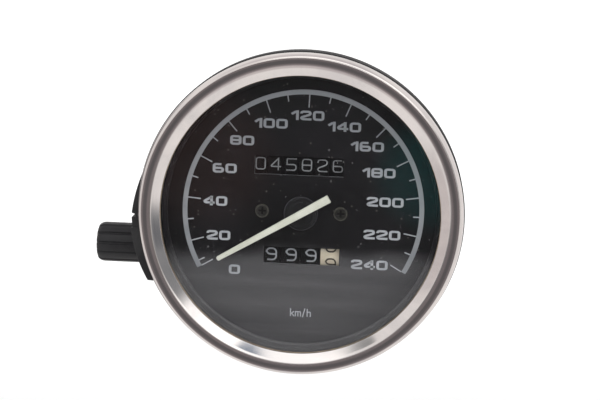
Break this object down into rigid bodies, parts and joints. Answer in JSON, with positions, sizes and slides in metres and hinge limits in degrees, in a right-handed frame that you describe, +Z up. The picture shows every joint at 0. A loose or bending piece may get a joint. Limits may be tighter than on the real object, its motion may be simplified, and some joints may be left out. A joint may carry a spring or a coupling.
{
  "type": "speedometer",
  "caption": "Round cable-driven motorcycle speedometer with a polished bezel, black dial, cream pointer, odometer, trip counter and fluted reset knob.",
  "frame": {"origin": "centre of the flat rear mounting face, on the instrument's axis", "axes": "+Y along the instrument's axis and rearwards, towards the studs; +Z up; +X right seen from the front; the dial faces -Y"},
  "size_m": [0.1163, 0.076, 0.101],
  "materials": {
    "black_plastic": "moulded, fine grain, satin",
    "screw_steel": "zinc plated",
    "bezel_steel": "polished stainless steel, lightly brushed on the front band",
    "glass": "clear float glass",
    "rubber": "matt",
    "surround": "matt black",
    "dial": "matt black screen printed plate",
    "print": "light grey screen print",
    "dark_screw": "blackened steel",
    "plated_steel": "zinc plated, satin",
    "brass": "turned",
    "bronze": "spring bronze",
    "soft_iron": "dark oxide",
    "die_cast": "zinc die casting, satin",
    "bulb_glass": "clear lamp glass",
    "pointer_paint": "cream luminous paint",
    "hub_plastic": "satin black",
    "cup_aluminium": "spun",
    "white_plastic": "acetal",
    "knob_rubber": "hard rubber, satin",
    "drum_black": "matt black with grey printed numbers",
    "drum_white": "off-white with black printed numbers"
  },
  "bodies": {
    "case": {"housing": "black_plastic", "rear_cover": "black_plastic", "cover_screws": "screw_steel", "bezel": "bezel_steel", "lens": "glass", "lens_gasket": "rubber", "dial_surround": "surround", "dial_plate": "dial", "dial_markings": "print", "dial_screws": "dark_screw", "movement_frame": "plated_steel", "rear_bridge": "plated_steel", "spacers": "brass", "spindle_bush": "brass", "drive_bush": "brass", "flux_ring": "soft_iron", "cable_socket": "die_cast", "mounting_studs": "screw_steel", "bulb_holders": "rubber", "bulbs": "bulb_glass", "odometer_shaft": "plated_steel", "odometer_carriers": "plated_steel", "trip_carriers": "plated_steel", "hairspring": "bronze", "knob_bush": "brass"},
    "pointer_arbor": {"pointer": "pointer_paint", "pointer_hub": "hub_plastic", "pointer_spindle": "plated_steel", "speed_cup": "cup_aluminium"},
    "input_drive": {"input_spindle": "plated_steel", "magnet": "soft_iron", "input_pinion": "brass"},
    "intermediate": {"intermediate_gear": "brass"},
    "lay_arbor": {"lay_shaft": "brass", "worm": "plated_steel"},
    "odometer_wheel": {"odometer_drive_wheel": "white_plastic"},
    "trip_wheel": {"trip_drive_wheel": "white_plastic"},
    "reset_arbor": {"reset_knob": "knob_rubber", "trip_shaft": "plated_steel"},
    "odometer_drum_1": {"odometer_drum_1": "drum_black"},
    "odometer_drum_2": {"odometer_drum_2": "drum_black"},
    "odometer_drum_3": {"odometer_drum_3": "drum_black"},
    "odometer_drum_4": {"odometer_drum_4": "drum_black"},
    "odometer_drum_5": {"odometer_drum_5": "drum_black"},
    "odometer_drum_6": {"odometer_drum_6": "drum_black"},
    "odometer_pinion_1": {"odometer_pinion_1": "white_plastic"},
    "odometer_pinion_2": {"odometer_pinion_2": "white_plastic"},
    "odometer_pinion_3": {"odometer_pinion_3": "white_plastic"},
    "odometer_pinion_4": {"odometer_pinion_4": "white_plastic"},
    "odometer_pinion_5": {"odometer_pinion_5": "white_plastic"},
    "odometer_pinion_6": {"odometer_pinion_6": "white_plastic"},
    "trip_drum_1": {"trip_drum_1": "drum_white"},
    "trip_drum_2": {"trip_drum_2": "drum_black"},
    "trip_drum_3": {"trip_drum_3": "drum_black"},
    "trip_drum_4": {"trip_drum_4": "drum_black"},
    "trip_pinion_1": {"trip_pinion_1": "white_plastic"},
    "trip_pinion_2": {"trip_pinion_2": "white_plastic"},
    "trip_pinion_3": {"trip_pinion_3": "white_plastic"}
  },
  "joints": [
    {"name": "pointer_sweep", "type": "hinge", "parent": "case", "child": "pointer_arbor", "pos_m": [0, -0.055, 0], "axis": [0, 1, 0], "range_deg": [0, 240.3], "stiffness_Nm_per_rad": 0.00006, "springref_deg": -20.05},
    {"name": "input_spin", "type": "hinge", "parent": "case", "child": "input_drive", "pos_m": [0, -0.01, 0], "axis": [0, 1, 0], "continuous": true},
    {"name": "intermediate_spin", "type": "hinge", "parent": "case", "child": "intermediate", "pos_m": [0.01075, -0.014, -0.00533], "axis": [0, 1, 0], "continuous": true},
    {"name": "lay_spin", "type": "hinge", "parent": "case", "child": "lay_arbor", "pos_m": [0.0215, -0.0316, 0], "axis": [0, 1, 0], "continuous": true},
    {"name": "odometer_wheel_spin", "type": "hinge", "parent": "case", "child": "odometer_wheel", "pos_m": [0.0215, -0.0419, 0.0142], "axis": [1, 0, 0], "continuous": true},
    {"name": "trip_wheel_spin", "type": "hinge", "parent": "case", "child": "trip_wheel", "pos_m": [0.0215, -0.0419, -0.0142], "axis": [1, 0, 0], "continuous": true},
    {"name": "odometer_roll_1", "type": "hinge", "parent": "case", "child": "odometer_drum_1", "pos_m": [0.0105, -0.0419, 0.0142], "axis": [1, 0, 0], "continuous": true},
    {"name": "odometer_roll_2", "type": "hinge", "parent": "case", "child": "odometer_drum_2", "pos_m": [0.0057, -0.0419, 0.0142], "axis": [1, 0, 0], "continuous": true},
    {"name": "odometer_roll_3", "type": "hinge", "parent": "case", "child": "odometer_drum_3", "pos_m": [0.0009, -0.0419, 0.0142], "axis": [1, 0, 0], "continuous": true},
    {"name": "odometer_roll_4", "type": "hinge", "parent": "case", "child": "odometer_drum_4", "pos_m": [-0.0039, -0.0419, 0.0142], "axis": [1, 0, 0], "continuous": true},
    {"name": "odometer_roll_5", "type": "hinge", "parent": "case", "child": "odometer_drum_5", "pos_m": [-0.0087, -0.0419, 0.0142], "axis": [1, 0, 0], "continuous": true},
    {"name": "odometer_roll_6", "type": "hinge", "parent": "case", "child": "odometer_drum_6", "pos_m": [-0.0135, -0.0419, 0.0142], "axis": [1, 0, 0], "continuous": true},
    {"name": "odometer_pinion_turn_1", "type": "hinge", "parent": "case", "child": "odometer_pinion_1", "pos_m": [0.0129, -0.03665, 0.0142], "axis": [1, 0, 0], "continuous": true},
    {"name": "odometer_pinion_turn_2", "type": "hinge", "parent": "case", "child": "odometer_pinion_2", "pos_m": [0.0081, -0.03665, 0.0142], "axis": [1, 0, 0], "continuous": true},
    {"name": "odometer_pinion_turn_3", "type": "hinge", "parent": "case", "child": "odometer_pinion_3", "pos_m": [0.0033, -0.03665, 0.0142], "axis": [1, 0, 0], "continuous": true},
    {"name": "odometer_pinion_turn_4", "type": "hinge", "parent": "case", "child": "odometer_pinion_4", "pos_m": [-0.0015, -0.03665, 0.0142], "axis": [1, 0, 0], "continuous": true},
    {"name": "odometer_pinion_turn_5", "type": "hinge", "parent": "case", "child": "odometer_pinion_5", "pos_m": [-0.0063, -0.03665, 0.0142], "axis": [1, 0, 0], "continuous": true},
    {"name": "odometer_pinion_turn_6", "type": "hinge", "parent": "case", "child": "odometer_pinion_6", "pos_m": [-0.0111, -0.03665, 0.0142], "axis": [1, 0, 0], "continuous": true},
    {"name": "reset_turn", "type": "hinge", "parent": "case", "child": "reset_arbor", "pos_m": [-0.05, -0.0419, -0.0142], "axis": [1, 0, 0], "continuous": true},
    {"name": "trip_roll_1", "type": "hinge", "parent": "case", "child": "trip_drum_1", "pos_m": [0.0093, -0.0419, -0.0142], "axis": [1, 0, 0], "continuous": true},
    {"name": "trip_roll_2", "type": "hinge", "parent": "case", "child": "trip_drum_2", "pos_m": [0.0031, -0.0419, -0.0142], "axis": [1, 0, 0], "continuous": true},
    {"name": "trip_roll_3", "type": "hinge", "parent": "case", "child": "trip_drum_3", "pos_m": [-0.0031, -0.0419, -0.0142], "axis": [1, 0, 0], "continuous": true},
    {"name": "trip_roll_4", "type": "hinge", "parent": "case", "child": "trip_drum_4", "pos_m": [-0.0093, -0.0419, -0.0142], "axis": [1, 0, 0], "continuous": true},
    {"name": "trip_pinion_turn_1", "type": "hinge", "parent": "case", "child": "trip_pinion_1", "pos_m": [0.0062, -0.03665, -0.0142], "axis": [1, 0, 0], "continuous": true},
    {"name": "trip_pinion_turn_2", "type": "hinge", "parent": "case", "child": "trip_pinion_2", "pos_m": [0, -0.03665, -0.0142], "axis": [1, 0, 0], "continuous": true},
    {"name": "trip_pinion_turn_3", "type": "hinge", "parent": "case", "child": "trip_pinion_3", "pos_m": [-0.0062, -0.03665, -0.0142], "axis": [1, 0, 0], "continuous": true}
  ],
  "couplings": [
    {"joint": "intermediate_spin", "follows": "input_spin", "ratio": -0.2},
    {"joint": "lay_spin", "follows": "input_spin", "ratio": 0.04},
    {"joint": "odometer_wheel_spin", "follows": "input_spin", "ratio": -0.00125},
    {"joint": "trip_wheel_spin", "follows": "input_spin", "ratio": 0.00125},
    {"joint": "odometer_roll_1", "follows": "input_spin", "ratio": -0.000125},
    {"joint": "odometer_roll_2", "follows": "input_spin", "ratio": -0.0000125},
    {"joint": "odometer_roll_3", "follows": "input_spin", "ratio": -0.00000125},
    {"joint": "odometer_roll_4", "follows": "input_spin", "ratio": -0.000000125},
    {"joint": "odometer_roll_5", "follows": "input_spin", "ratio": -0.0000000125},
    {"joint": "odometer_roll_6", "follows": "input_spin", "ratio": -0.00000000125},
    {"joint": "odometer_pinion_turn_1", "follows": "input_spin", "ratio": -0.00041667},
    {"joint": "odometer_pinion_turn_2", "follows": "input_spin", "ratio": -0.000041667},
    {"joint": "odometer_pinion_turn_3", "follows": "input_spin", "ratio": -0.0000041667},
    {"joint": "odometer_pinion_turn_4", "follows": "input_spin", "ratio": -0.00000041667},
    {"joint": "odometer_pinion_turn_5", "follows": "input_spin", "ratio": -0.000000041667},
    {"joint": "odometer_pinion_turn_6", "follows": "input_spin", "ratio": -0.0000000041667},
    {"joint": "trip_roll_1", "follows": "reset_turn", "ratio": 1},
    {"joint": "trip_roll_2", "follows": "reset_turn", "ratio": 1},
    {"joint": "trip_roll_3", "follows": "reset_turn", "ratio": 1},
    {"joint": "trip_roll_4", "follows": "reset_turn", "ratio": 1},
    {"joint": "trip_pinion_turn_1", "follows": "reset_turn", "ratio": 3.3333},
    {"joint": "trip_pinion_turn_2", "follows": "reset_turn", "ratio": 3.3333},
    {"joint": "trip_pinion_turn_3", "follows": "reset_turn", "ratio": 3.3333}
  ]
}
